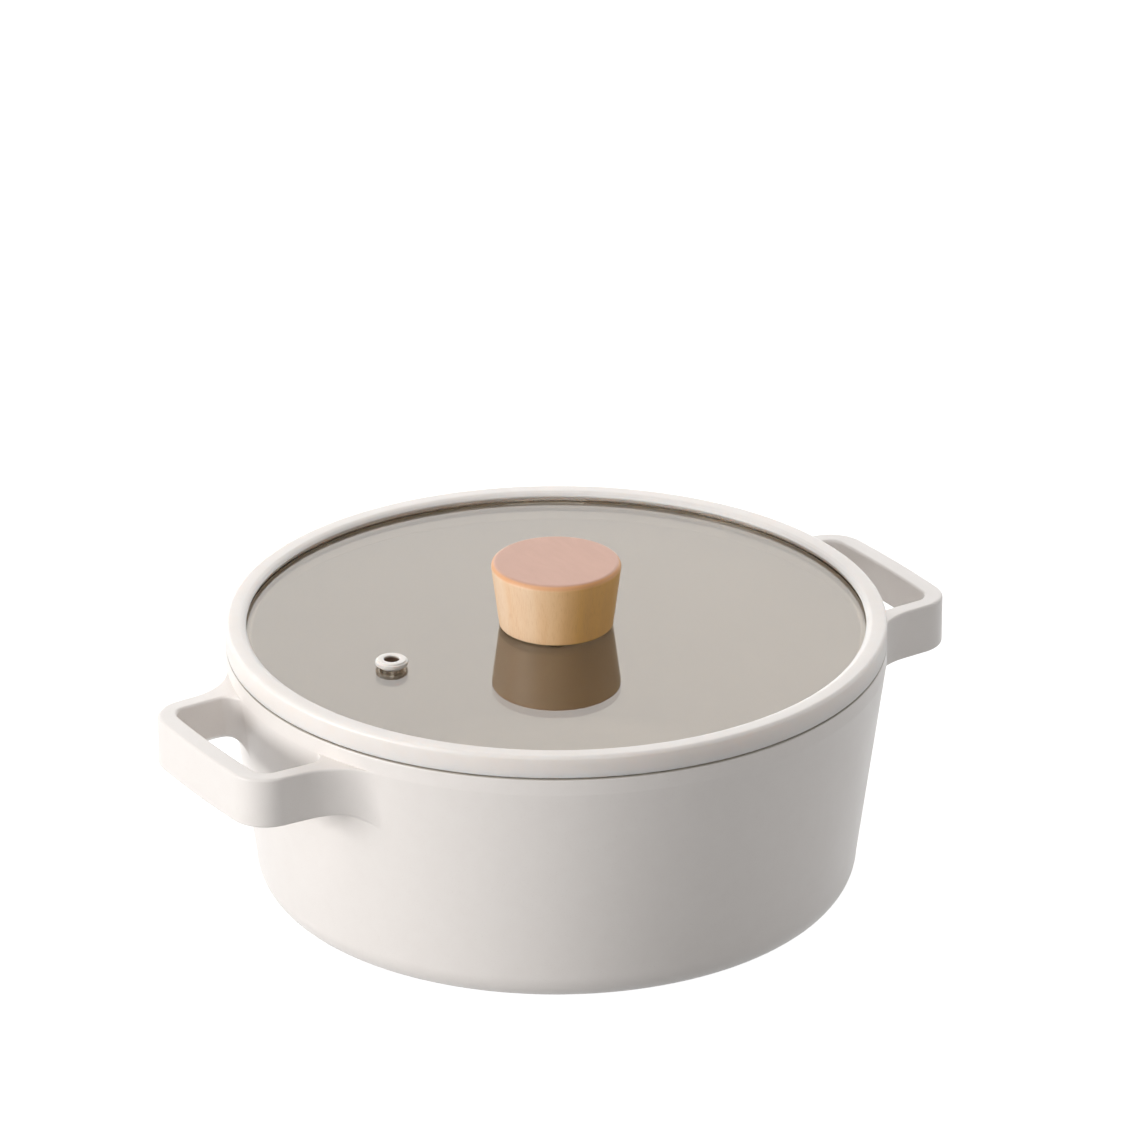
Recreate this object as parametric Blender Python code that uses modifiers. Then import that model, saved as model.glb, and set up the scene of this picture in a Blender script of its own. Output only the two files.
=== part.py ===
"""Low round saucepan with two loop handles cast in one with it, and a flat glass lid.

Metres, +Z up. The origin is the centre of the foot ring, in the plane that the pan stands on.
The handles lie on the X axis. The lid's vent is on the -X side.
"""

import math

import bmesh
import bpy

MM = 0.001

# Driving dimensions of the cast body
POT_HEIGHT = 98.6 * MM
RIM_RADIUS = 126.0 * MM
BAND_HEIGHT = 6.6 * MM          # upright band below the rim; the wall tapers below it
HEEL_RADIUS = 115.45 * MM       # outside radius where the taper meets the heel rounding
HEEL_ROUNDING = 13.0 * MM
WALL = 3.2 * MM
FLOOR_TOP = 5.5 * MM
FLOOR_ROUNDING = 10.0 * MM
RIM_ROUNDING = 0.8 * MM
RECESS_RADIUS = 86.0 * MM       # shallow seat of the steel base plate
RECESS_DEPTH = 1.9 * MM

# Loop handles
HANDLE_REACH = 158.75 * MM      # from the pan's axis to the middle of the grip
HANDLE_HALF_WIDTH = 39.5 * MM
HANDLE_TOP = 92.4 * MM
HANDLE_HEIGHT = 19.8 * MM
GRIP_THICKNESS = 7.6 * MM
LEG_THICKNESS = 6.4 * MM
LEG_SPLAY = 0.05                # gain in half width for each metre towards the body
GRIP_BOW_RADIUS = 500.0 * MM
HANDLE_CORNER = 14.0 * MM
LOOP_CORNER = 6.5 * MM
OUTER_FLARE = 27.0 * MM
INNER_FLARE = 6.0 * MM
HANDLE_EDGE = 1.0 * MM          # rounding along the strap's long edges
UNDERSIDE_SLOPE = 0.6           # the underside rises this much per unit of thickness, towards the loop
OUTER_ROOT = 5.0 * MM           # rounding between underside and wall, outside the loop
INNER_ROOT = 10.0 * MM          # the same, inside the loop
FLARE_SPLAY = 0.6               # share of the splay that is left where a flare starts
FLARE_SINK = 0.35 * MM          # how far the flares run into the wall before they end
BURIED = 0.98                   # the strap's hidden ends lie at this share of the wall's radius
BOW_SOFTENING = 0.9             # the bow is rounded at the middle of the grip

# Lid
GAP = 0.3 * MM                  # air left between pieces that touch on the real lid
SEAT_GAP = 0.4 * MM
LID_RIM_HEIGHT = 8.6 * MM
LIP_INNER_RADIUS = 118.0 * MM
LIP_EDGE_TOP = 106.6 * MM       # the lip's free edge lies lower than the crown of the ring
LIP_EDGE_LOW = 106.1 * MM       # and clear of the glass, which the lip meets further out
LIP_ROOT_RADIUS = 119.4 * MM
LIP_SHOULDER = (119.0 * MM, 107.4 * MM)
LIP_CROWN = (120.2 * MM, 107.88 * MM)
RIM_TOP_ROUNDING = 1.5 * MM
RIM_EDGE = 0.7 * MM
LEDGE_RADIUS = 115.8 * MM       # inner radius of the ledge that carries the glass
LEDGE_THICKNESS = 1.6 * MM
SKIRT_THICKNESS = 3.4 * MM
SKIRT_EDGE = 0.5 * MM
GLASS_RADIUS = 119.5 * MM
GLASS_THICKNESS = 4.0 * MM
GLASS_TOP = 104.75 * MM
SKIRT_RADIUS = 122.0 * MM
SKIRT_DEPTH = 5.5 * MM          # how far the skirt reaches down into the pan
GLASS_EDGE = 0.9 * MM
KNOB_HOLE = 4.6 * MM            # radius of the hole in the glass under the knob
VENT_OFFSET = 73.3 * MM
VENT_RADIUS = 6.15 * MM
VENT_BORE = 3.0 * MM
VENT_NECK = 4.3 * MM
VENT_HEIGHT = 3.0 * MM          # how far the vent stands up from the glass
VENT_CROWN = 5.4 * MM           # radius of the raised middle of the vent's flange
VENT_STEP = 0.6 * MM            # the flange lies this much lower than the crown
VENT_FLANGE = 1.5 * MM          # thickness of the flange's edge
VENT_TAIL = 1.8 * MM            # how far it reaches below the glass

# Knob and what holds it
KNOB_TOP_RADIUS = 25.05 * MM
KNOB_FOOT_RADIUS = 21.7 * MM
KNOB_HEIGHT = 25.6 * MM
KNOB_ROUNDING = 2.0 * MM
WASHER_SEAT_RADIUS = 12.0 * MM
WASHER_SEAT_DEPTH = 1.2 * MM
SEAT_WASHER_THICKNESS = 0.9 * MM
SEAT_WASHER_BORE = 4.9 * MM
KNOB_BORE = 4.2 * MM
KNOB_BORE_DEPTH = 15.5 * MM
INSERT_LENGTH = 12.5 * MM
SCREW_RADIUS = 2.5 * MM
SCREW_HEAD_RADIUS = 4.75 * MM
SCREW_HEAD_HEIGHT = 3.0 * MM
SLOT_DEPTH = 1.6 * MM
GASKET_RADIUS = 10.0 * MM
GASKET_THICKNESS = 1.0 * MM
SCREW_WASHER_RADIUS = 9.0 * MM
SCREW_WASHER_THICKNESS = 1.0 * MM
LOCK_WASHER_RADIUS = 4.6 * MM
LOCK_WASHER_THICKNESS = 1.2 * MM
LOCK_SPLIT = 0.8 * MM

ROUND_STEPS = 72
KNOB_STEPS = 48
SMALL_STEPS = 24
FLARE_STEPS = 8
CORNER_STEPS = 6
MERGE = 0.00001

# Worked out from the dimensions above
GLASS_BOTTOM = GLASS_TOP - GLASS_THICKNESS
BAND_BOTTOM = POT_HEIGHT - BAND_HEIGHT
TAPER = (RIM_RADIUS - HEEL_RADIUS) / (BAND_BOTTOM - HEEL_ROUNDING)
LID_SEAT = POT_HEIGHT + SEAT_GAP
LID_TOP = LID_SEAT + LID_RIM_HEIGHT
KNOB_FOOT = GLASS_TOP + 0.4 * MM
KNOB_TOP = KNOB_FOOT + KNOB_HEIGHT
KNOB_BORE_TOP = KNOB_FOOT + KNOB_BORE_DEPTH
INSERT_TOP = KNOB_BORE_TOP - 1.0 * MM
GASKET_TOP = GLASS_BOTTOM - GAP
GASKET_BOTTOM = GASKET_TOP - GASKET_THICKNESS
WASHER_TOP = GASKET_BOTTOM - GAP
WASHER_BOTTOM = WASHER_TOP - SCREW_WASHER_THICKNESS
LOCK_TOP = WASHER_BOTTOM - GAP
LOCK_BOTTOM = LOCK_TOP - LOCK_WASHER_THICKNESS
HEAD_TOP = LOCK_BOTTOM - GAP
HEAD_BOTTOM = HEAD_TOP - SCREW_HEAD_HEIGHT


# ---------------------------------------------------------------- scene helpers

def clear_scene():
    for obj in list(bpy.data.objects):
        bpy.data.objects.remove(obj, do_unlink=True)


def new_collection(name):
    collection = bpy.data.collections.new(name)
    bpy.context.scene.collection.children.link(collection)
    return collection


def new_empty(name, location=(0, 0, 0)):
    empty = bpy.data.objects.new(name, None)
    empty.location = location
    PART.objects.link(empty)
    return empty


def material(name, colour, roughness, metallic=0.0, transmission=0.0):
    made = bpy.data.materials.new(name)
    made.use_nodes = True
    shader = made.node_tree.nodes["Principled BSDF"]
    shader.inputs["Base Color"].default_value = (*colour, 1.0)
    shader.inputs["Roughness"].default_value = roughness
    shader.inputs["Metallic"].default_value = metallic
    shader.inputs["Transmission Weight"].default_value = transmission
    return made


def add_object(name, mesh, collection, finish=None, parent=None, location=(0, 0, 0)):
    obj = bpy.data.objects.new(name, mesh)
    obj.location = location
    obj.parent = parent
    collection.objects.link(obj)
    if finish:
        mesh.materials.append(finish)
    return obj


def as_cutter(obj):
    obj.hide_render = True
    obj.display_type = "WIRE"
    return obj


def boolean(obj, other, operation):
    modifier = obj.modifiers.new(f"{operation.lower()}_{other.name}", "BOOLEAN")
    modifier.operation = operation
    modifier.object = other
    modifier.solver = "EXACT"


# ---------------------------------------------------------------- outline helpers

def arc(centre, radius, start, end, steps):
    """Points on an arc about centre, angles in degrees, both ends included."""
    points = []
    for i in range(steps + 1):
        angle = math.radians(start + (end - start) * i / steps)
        points.append((centre[0] + radius * math.cos(angle), centre[1] + radius * math.sin(angle)))
    return points


def rounded(corners, steps=4, closed=False):
    """A polyline through corners (x, y, radius), each corner of some radius turned into an arc."""
    count = len(corners)
    points = []
    for i, (x, y, radius) in enumerate(corners):
        at_end = not closed and i in (0, count - 1)
        if radius == 0 or at_end:
            points.append((x, y))
            continue
        before = corners[i - 1]
        after = corners[(i + 1) % count]
        in_angle = math.atan2(before[1] - y, before[0] - x)
        out_angle = math.atan2(after[1] - y, after[0] - x)
        opening = (out_angle - in_angle + math.pi) % (2 * math.pi) - math.pi
        half = abs(opening) / 2
        reach = radius / math.sin(half)
        middle = in_angle + opening / 2
        centre = (x + reach * math.cos(middle), y + reach * math.sin(middle))
        sweep = math.copysign(math.pi - 2 * half, -opening)
        first = middle + math.pi - sweep / 2
        points += arc(centre, radius, math.degrees(first), math.degrees(first + sweep), steps)
    return points


def turned(name, profile, steps, collection, closed=False, **placing):
    """A solid of revolution: the profile (radius, z) runs down its outer side and turns about +Z."""
    mesh = bpy.data.meshes.new(name)
    edges = [(i, i + 1) for i in range(len(profile) - 1)]
    if closed:
        edges.append((len(profile) - 1, 0))
    mesh.from_pydata([(r, 0, z) for r, z in profile], edges, [])
    obj = add_object(name, mesh, collection, **placing)
    screw = obj.modifiers.new("turn", "SCREW")
    screw.axis = "Z"
    screw.angle = 2 * math.pi
    screw.steps = steps
    screw.render_steps = steps
    screw.use_merge_vertices = True
    screw.merge_threshold = MERGE
    screw.use_smooth_shade = True
    return obj


def cylinder_cutter(name, radius, low, high, location=(0, 0, 0)):
    profile = [(0, high), (radius, high), (radius, low), (0, low)]
    return as_cutter(turned(name, profile, SMALL_STEPS, CUTTERS, location=location))


def box_cutter(name, size, centre):
    mesh = bpy.data.meshes.new(name)
    box = bmesh.new()
    bmesh.ops.create_cube(box, size=1.0)
    bmesh.ops.scale(box, vec=size, verts=box.verts)
    box.to_mesh(mesh)
    box.free()
    return as_cutter(add_object(name, mesh, CUTTERS, location=centre))


# ---------------------------------------------------------------- cast body

def wall_radius(z):
    """Outside radius of the body at height z, above the heel rounding."""
    return RIM_RADIUS - TAPER * max(0.0, BAND_BOTTOM - z)


def body_blank_profile():
    foot_radius = HEEL_RADIUS - HEEL_ROUNDING
    heel = arc((foot_radius, HEEL_ROUNDING), HEEL_ROUNDING, 0, -90, 7)
    return (
        [(0, POT_HEIGHT)]
        + arc((RIM_RADIUS - RIM_ROUNDING, POT_HEIGHT - RIM_ROUNDING), RIM_ROUNDING, 90, 0, 3)
        + [(RIM_RADIUS, BAND_BOTTOM)]
        + heel
        + [(RECESS_RADIUS, 0), (RECESS_RADIUS, RECESS_DEPTH), (0, RECESS_DEPTH)]
    )


def cavity_profile():
    """The hollow of the pan, run on past the rim so that it also rounds the rim's inner edge."""
    inner = RIM_RADIUS - WALL
    lip = arc((inner + RIM_ROUNDING, POT_HEIGHT - RIM_ROUNDING), RIM_ROUNDING, 90, 180, 3)
    low = FLOOR_TOP + FLOOR_ROUNDING
    corners = [
        (inner, BAND_BOTTOM, 0),
        (wall_radius(FLOOR_TOP) - WALL, FLOOR_TOP, FLOOR_ROUNDING),
        (0, FLOOR_TOP, 0),
    ]
    top = POT_HEIGHT + low
    return [(0, top), (inner + RIM_ROUNDING, top)] + lip + rounded(corners, steps=6)


def flare(half_width, radius, wall, outward, steps):
    """The arc that carries a leg's side, at y = half_width, into a wall of the given radius.

    outward is +1 on the leg's outer side and -1 inside the loop. Points run from the wall out.
    """
    side = half_width + outward * radius
    reach = math.sqrt((wall + radius) ** 2 - side ** 2)
    start = math.degrees(math.atan2(-side, -reach))
    end = -90 * outward
    if outward < 0:
        start = start % 360
    return arc((reach, side), radius, start, end, steps)


def strap_side(offset, corner, flare_radius, outward, z):
    """Half of one side of the handle in plan at height z, from inside the wall to the middle of the grip.

    offset is the distance from the handle's outer outline to this side.
    """
    grip, leg = offset
    wall = wall_radius(z) - FLARE_SINK
    half = HANDLE_HALF_WIDTH - leg
    reach = HANDLE_REACH - grip
    tilt = math.asin(half / GRIP_BOW_RADIUS)
    apex = reach + GRIP_BOW_RADIUS * (1 / math.cos(tilt) - 1)
    corner_x = apex - half * math.tan(tilt)
    splay = LEG_SPLAY * (corner_x - wall)
    root = flare(half + splay * FLARE_SPLAY, flare_radius, wall, outward, FLARE_STEPS)
    buried = [(root[0][0] * BURIED, root[0][1] * BURIED)]
    line = [
        (root[-1][0], root[-1][1], 0),
        (corner_x, half, corner),
        (apex, 0, GRIP_BOW_RADIUS * BOW_SOFTENING),
        (corner_x, -half, 0),
    ]
    around = rounded(line, steps=CORNER_STEPS)[1:CORNER_STEPS + 2]
    return buried + root + around + [(reach, 0)]


def lowered(points, z, root_radius, rises):
    """Points (x, y) of a lower edge as (x, y, z), raised by rises and rounded down into the wall."""
    placed = []
    for (x, y), rise in zip(points, rises):
        radius = math.hypot(x, y)
        gap = min(max(radius - wall_radius(z), 0.0), root_radius)
        drop = root_radius - math.sqrt(root_radius ** 2 - (root_radius - gap) ** 2)
        scale = (radius - TAPER * (drop - rise)) / radius if drop > 0 else 1.0
        placed.append((x * scale, y * scale, z + rise - drop))
    return placed


def underside_rises(count):
    """How far the loop's lower edge is above the outer one: by the leg's thickness, then by the grip's."""
    rises = []
    for i in range(count):
        share = min(max((i - FLARE_STEPS - 1) / CORNER_STEPS, 0.0), 1.0)
        rises.append(UNDERSIDE_SLOPE * (LEG_THICKNESS + share * (GRIP_THICKNESS - LEG_THICKNESS)))
    return rises


def handle_blank(name, direction):
    """The strap of one handle as a loft, its section a four-sided bar with rounded edges."""
    low = HANDLE_TOP - HANDLE_HEIGHT
    quarter = [(HANDLE_EDGE - x, y) for x, y in arc((0, 0), HANDLE_EDGE, 0, 90, 2)]
    upper = HANDLE_TOP - HANDLE_EDGE
    lower = low + HANDLE_EDGE
    section = [(1, inset, upper + rise, 0) for inset, rise in quarter]
    section += [(-1, inset, upper + rise, 0) for inset, rise in reversed(quarter)]
    section += [(-1, inset, lower - rise, INNER_ROOT) for inset, rise in quarter]
    section += [(1, inset, lower - rise, OUTER_ROOT) for inset, rise in reversed(quarter)]

    sides = []
    for outward, inset, z, root_radius in section:
        if outward > 0:
            half = strap_side((inset, inset), HANDLE_CORNER, OUTER_FLARE, 1, z)
        else:
            offset = (GRIP_THICKNESS - inset, LEG_THICKNESS - inset)
            half = strap_side(offset, LOOP_CORNER, INNER_FLARE, -1, z)
        rises = [0] * len(half)
        if outward < 0 and root_radius:
            rises = underside_rises(len(half))
        if root_radius:
            half = lowered(half, z, root_radius, rises)
        else:
            half = [(x, y, z) for x, y in half]
        whole = half + [(x, -y, height) for x, y, height in reversed(half[:-1])]
        sides.append([(x * direction, y * direction, height) for x, y, height in whole])

    loft = bmesh.new()
    rings = [[loft.verts.new(side[i]) for side in sides] for i in range(len(sides[0]))]
    for first, second in zip(rings, rings[1:]):
        for j in range(len(section)):
            k = (j + 1) % len(section)
            loft.faces.new((first[j], first[k], second[k], second[j]))
    loft.faces.new(rings[0])
    loft.faces.new(reversed(rings[-1]))
    bmesh.ops.recalc_face_normals(loft, faces=loft.faces)
    mesh = bpy.data.meshes.new(name)
    loft.to_mesh(mesh)
    loft.free()
    return as_cutter(add_object(name, mesh, CUTTERS))


def pot_casting():
    pot = turned(
        "pot_casting", body_blank_profile(), ROUND_STEPS, PART, finish=IVORY_COAT, parent=POT_FRAME
    )
    for name, direction in (("handle_right", 1), ("handle_left", -1)):
        boolean(pot, handle_blank(name, direction), "UNION")
    cavity = as_cutter(turned("pan_hollow", cavity_profile(), ROUND_STEPS, CUTTERS))
    boolean(pot, cavity, "DIFFERENCE")


def induction_base_plate():
    radius = RECESS_RADIUS - GAP
    profile = rounded(
        [
            (0, RECESS_DEPTH - GAP, 0),
            (radius, RECESS_DEPTH - GAP, 0),
            (radius, GAP, 0.4 * MM),
            (0, GAP, 0),
        ],
        steps=2,
    )
    turned("induction_base_plate", profile, ROUND_STEPS, PART, finish=STEEL, parent=POT_FRAME)


# ---------------------------------------------------------------- lid

def lid_silicone_rim():
    """Ring with a groove for the glass, a flange that rests on the pan and a skirt that centres it."""
    groove = GLASS_RADIUS + GAP
    skirt_bottom = LID_SEAT - SKIRT_DEPTH
    skirt_inside = SKIRT_RADIUS - SKIRT_THICKNESS
    ledge_top = GLASS_BOTTOM - GAP
    corners = [
        (RIM_RADIUS, LID_TOP, RIM_TOP_ROUNDING),
        (RIM_RADIUS, LID_SEAT, RIM_EDGE),
        (SKIRT_RADIUS, LID_SEAT, 0),
        (SKIRT_RADIUS, skirt_bottom, SKIRT_EDGE),
        (skirt_inside, skirt_bottom, SKIRT_EDGE),
        (skirt_inside, ledge_top - LEDGE_THICKNESS, 0),
        (LEDGE_RADIUS, ledge_top - LEDGE_THICKNESS, 0),
        (LEDGE_RADIUS, ledge_top, 0),
        (groove, ledge_top, 0),
        (groove, GLASS_TOP + GAP, 0),
        (LIP_ROOT_RADIUS, GLASS_TOP + GAP, 0),
        (LIP_INNER_RADIUS, LIP_EDGE_LOW, 0),
        (LIP_INNER_RADIUS, LIP_EDGE_TOP, 0),
        (*LIP_SHOULDER, 0),
        (*LIP_CROWN, 0),
    ]
    turned(
        "lid_silicone_rim", rounded(corners, steps=3, closed=True), ROUND_STEPS, PART,
        closed=True, finish=IVORY_SILICONE, parent=LID_FRAME,
    )


def lid_glass():
    corners = [
        (GLASS_RADIUS, GLASS_TOP, GLASS_EDGE),
        (GLASS_RADIUS, GLASS_BOTTOM, GLASS_EDGE),
        (KNOB_HOLE, GLASS_BOTTOM, 0),
        (KNOB_HOLE, GLASS_TOP, 0),
    ]
    glass = turned(
        "lid_glass", rounded(corners, steps=2, closed=True), ROUND_STEPS, PART,
        closed=True, finish=GLASS, parent=LID_FRAME,
    )
    vent = cylinder_cutter(
        "vent_hole", VENT_NECK + GAP, GLASS_BOTTOM - MM, GLASS_TOP + MM, (-VENT_OFFSET, 0, 0)
    )
    boolean(glass, vent, "DIFFERENCE")


def steam_vent_grommet():
    flange_top = GLASS_TOP + GAP + VENT_HEIGHT
    tail = GLASS_BOTTOM - GAP - VENT_TAIL
    tail_radius = VENT_RADIUS - 0.6 * MM
    corners = [
        (VENT_CROWN, flange_top, 0.3 * MM),
        (VENT_CROWN + 0.2 * MM, flange_top - VENT_STEP, 0),
        (VENT_RADIUS, flange_top - VENT_STEP, 0.3 * MM),
        (VENT_RADIUS, flange_top - VENT_STEP - VENT_FLANGE, 0.3 * MM),
        (VENT_NECK + 0.5 * MM, GLASS_TOP + GAP, 0),
        (VENT_NECK, GLASS_TOP + GAP, 0),
        (VENT_NECK, GLASS_BOTTOM - GAP, 0),
        (tail_radius, GLASS_BOTTOM - GAP, 0.3 * MM),
        (tail_radius - 0.8 * MM, tail, 0.5 * MM),
        (VENT_BORE, tail, 0.3 * MM),
        (VENT_BORE, flange_top, 0.5 * MM),
    ]
    turned(
        "steam_vent_grommet", rounded(corners, steps=2, closed=True), SMALL_STEPS, PART,
        closed=True, finish=VENT_SILICONE, parent=LID_FRAME, location=(-VENT_OFFSET, 0, 0),
    )


# ---------------------------------------------------------------- knob and its fastening

def ring(name, inner, outer, low, high, finish, edge=0.0):
    corners = [(outer, high, edge), (outer, low, edge), (inner, low, 0), (inner, high, 0)]
    return turned(
        name, rounded(corners, steps=2, closed=True), SMALL_STEPS, PART,
        closed=True, finish=finish, parent=LID_FRAME,
    )


def knob_wood():
    corners = [
        (0, KNOB_TOP, 0),
        (KNOB_TOP_RADIUS + 0.15 * MM, KNOB_TOP, KNOB_ROUNDING),
        (KNOB_FOOT_RADIUS, KNOB_FOOT, 0.6 * MM),
        (WASHER_SEAT_RADIUS, KNOB_FOOT, 0),
        (WASHER_SEAT_RADIUS, KNOB_FOOT + WASHER_SEAT_DEPTH, 0),
        (KNOB_BORE, KNOB_FOOT + WASHER_SEAT_DEPTH, 0),
        (KNOB_BORE, KNOB_BORE_TOP, 0),
        (0, KNOB_BORE_TOP, 0),
    ]
    turned("knob_wood", rounded(corners, steps=4), KNOB_STEPS, PART, finish=WOOD, parent=LID_FRAME)


def knob_seat_washer():
    low = GLASS_TOP + GAP
    high = low + SEAT_WASHER_THICKNESS
    ring("knob_seat_washer", SEAT_WASHER_BORE, WASHER_SEAT_RADIUS - GAP, low, high, DARK_SILICONE)


def knob_threaded_insert():
    low = INSERT_TOP - INSERT_LENGTH
    ring("knob_threaded_insert", SCREW_RADIUS + GAP, KNOB_BORE - GAP, low, INSERT_TOP, BRASS)


def under_glass_gasket():
    """Flat gasket with a collar that keeps the screw off the edge of the glass."""
    bore = SCREW_RADIUS + GAP
    collar = KNOB_HOLE - GAP
    collar_top = GLASS_TOP - GAP
    corners = [
        (collar, collar_top, 0),
        (collar, GASKET_TOP, 0),
        (GASKET_RADIUS, GASKET_TOP, 0),
        (GASKET_RADIUS, GASKET_BOTTOM, 0.3 * MM),
        (bore, GASKET_BOTTOM, 0),
        (bore, collar_top, 0),
    ]
    turned(
        "under_glass_gasket", rounded(corners, steps=2, closed=True), SMALL_STEPS, PART,
        closed=True, finish=DARK_SILICONE, parent=LID_FRAME,
    )


def screw_washer():
    bore = SCREW_RADIUS + GAP
    ring("screw_washer", bore, SCREW_WASHER_RADIUS, WASHER_BOTTOM, WASHER_TOP, STEEL, 0.3 * MM)


def spring_lock_washer():
    bore = SCREW_RADIUS + GAP
    washer = ring("spring_lock_washer", bore, LOCK_WASHER_RADIUS, LOCK_BOTTOM, LOCK_TOP, STEEL)
    middle = (LOCK_TOP + LOCK_BOTTOM) / 2
    size = (4 * MM, LOCK_SPLIT, 2 * LOCK_WASHER_THICKNESS)
    split = box_cutter("lock_split", size, ((bore + LOCK_WASHER_RADIUS) / 2, 0, middle))
    boolean(washer, split, "DIFFERENCE")


def knob_screw():
    top = INSERT_TOP - 1.0 * MM
    corners = [
        (0, top, 0),
        (SCREW_RADIUS - 0.5 * MM, top, 0),
        (SCREW_RADIUS, top - 0.5 * MM, 0),
        (SCREW_RADIUS, HEAD_TOP, 0),
        (SCREW_HEAD_RADIUS, HEAD_TOP, 0),
        (SCREW_HEAD_RADIUS, HEAD_BOTTOM, 1.8 * MM),
        (0, HEAD_BOTTOM, 0),
    ]
    screw = turned(
        "knob_screw", rounded(corners, steps=3), SMALL_STEPS, PART, finish=STEEL, parent=LID_FRAME
    )
    centre = (0, 0, HEAD_BOTTOM)
    for name, width, length in (("slot_x", 5 * MM, MM), ("slot_y", MM, 5 * MM)):
        slot = box_cutter(name, (width, length, 2 * SLOT_DEPTH), centre)
        boolean(screw, slot, "DIFFERENCE")


# ---------------------------------------------------------------- build

clear_scene()
PART = new_collection("saucepan_with_glass_lid")
CUTTERS = new_collection("cutters")

IVORY_COAT = material("ivory_ceramic_coat", (0.80, 0.765, 0.715), 0.32)
IVORY_SILICONE = material("ivory_silicone", (0.81, 0.775, 0.73), 0.55)
VENT_SILICONE = material("white_silicone", (0.88, 0.86, 0.82), 0.5)
GLASS = material("lid_glass", (0.93, 0.90, 0.87), 0.02, transmission=1.0)
WOOD = material("beech", (0.72, 0.47, 0.28), 0.42)
DARK_SILICONE = material("grey_silicone", (0.35, 0.34, 0.33), 0.6)
STEEL = material("stainless_steel", (0.62, 0.61, 0.60), 0.3, metallic=1.0)
BRASS = material("brass", (0.78, 0.58, 0.28), 0.3, metallic=1.0)

POT_FRAME = new_empty("pot_frame")
LID_FRAME = new_empty("lid_axis")

pot_casting()
induction_base_plate()
lid_silicone_rim()
lid_glass()
steam_vent_grommet()
knob_wood()
knob_seat_washer()
knob_threaded_insert()
under_glass_gasket()
screw_washer()
spring_lock_washer()
knob_screw()
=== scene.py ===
"""Looks of the low round saucepan with a flat glass lid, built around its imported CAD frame.

Metres, +Z up, handles on the X axis, the vent on the -X side. The outer sizes and heights come
from the boxes of the CAD nodes, and the rest are the CAD source's dimensions, repeated below.
"""

import math

import bmesh
import bpy
from mathutils import Matrix, Vector


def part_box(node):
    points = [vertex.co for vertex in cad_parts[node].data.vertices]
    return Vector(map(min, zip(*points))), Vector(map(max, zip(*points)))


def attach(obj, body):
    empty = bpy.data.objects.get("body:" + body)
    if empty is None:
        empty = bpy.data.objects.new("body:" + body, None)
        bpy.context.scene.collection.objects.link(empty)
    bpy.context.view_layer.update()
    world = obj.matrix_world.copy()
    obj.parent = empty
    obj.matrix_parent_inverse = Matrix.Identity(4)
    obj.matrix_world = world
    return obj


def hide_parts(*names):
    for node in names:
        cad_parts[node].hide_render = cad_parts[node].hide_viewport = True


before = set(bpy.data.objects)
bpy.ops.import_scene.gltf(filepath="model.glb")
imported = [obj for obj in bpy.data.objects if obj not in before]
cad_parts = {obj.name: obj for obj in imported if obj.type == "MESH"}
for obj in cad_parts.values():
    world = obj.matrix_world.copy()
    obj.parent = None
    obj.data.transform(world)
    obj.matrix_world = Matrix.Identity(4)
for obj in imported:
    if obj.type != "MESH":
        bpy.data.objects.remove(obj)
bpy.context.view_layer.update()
MM = 0.001

# ---------------------------------------------------------------- sizes, read from the frame
POT_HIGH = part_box("pot_casting")[1]
RIM_LOW, RIM_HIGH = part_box("lid_silicone_rim")
GLASS_LOW, GLASS_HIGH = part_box("lid_glass")
VENT_LOW, VENT_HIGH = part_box("steam_vent_grommet")
KNOB_LOW, KNOB_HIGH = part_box("knob_wood")
PLATE_LOW, PLATE_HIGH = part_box("induction_base_plate")

POT_HEIGHT = POT_HIGH.z
RIM_RADIUS = POT_HIGH.y
HANDLE_REACH = POT_HIGH.x
LID_TOP = RIM_HIGH.z
GLASS_TOP = GLASS_HIGH.z
GLASS_BOTTOM = GLASS_LOW.z
GLASS_RADIUS = GLASS_HIGH.x
VENT_RADIUS = (VENT_HIGH.x - VENT_LOW.x) / 2
VENT_X = (VENT_HIGH.x + VENT_LOW.x) / 2
KNOB_TOP_RADIUS = KNOB_HIGH.x

# The casting's own dimensions. Only FLARE_SINK and BURIED, of the hidden ends, differ from the CAD
BAND_HEIGHT = 6.6 * MM           # upright band below the rim; the wall tapers below it
BAND_ROUNDING = 6.0 * MM
HEEL_RADIUS = 115.45 * MM        # where the taper meets the heel's rounding
HEEL_ROUNDING = 13.0 * MM
WALL = 3.2 * MM
FLOOR_TOP = 5.5 * MM
FLOOR_ROUNDING = 10.0 * MM
RIM_ROUNDING = 0.8 * MM
RECESS_RADIUS = 86.0 * MM        # shallow seat of the steel base plate
RECESS_DEPTH = 1.9 * MM
RECESS_EDGE = 0.3 * MM
HANDLE_HALF_WIDTH = 39.5 * MM    # where the grip's line meets the outer side of a leg
HANDLE_TOP = 92.4 * MM
HANDLE_HEIGHT = 19.8 * MM
GRIP_THICKNESS = 7.6 * MM
LEG_THICKNESS = 6.4 * MM
LEG_SPLAY = 0.05                 # gain in half width for each metre towards the body
GRIP_BOW_RADIUS = 500.0 * MM
HANDLE_CORNER = 14.0 * MM
LOOP_CORNER = 6.5 * MM
OUTER_FLARE = 27.0 * MM
INNER_FLARE = 6.0 * MM
HANDLE_EDGE = 1.0 * MM           # rounding along the strap's long edges
UNDERSIDE_SLOPE = 0.6            # the underside rises this much per unit of thickness, towards the loop
OUTER_ROOT = 5.0 * MM            # rounding between underside and wall, outside the loop
INNER_ROOT = 10.0 * MM           # the same, inside the loop
FLARE_SPLAY = 0.6                # share of the splay that is left where a flare starts
FLARE_SINK = 0.05 * MM           # how far the flares run into the wall before they end
BURIED = 0.99                    # the strap's hidden ends lie at this share of the wall's radius
BAND_BOTTOM = POT_HEIGHT - BAND_HEIGHT
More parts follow.
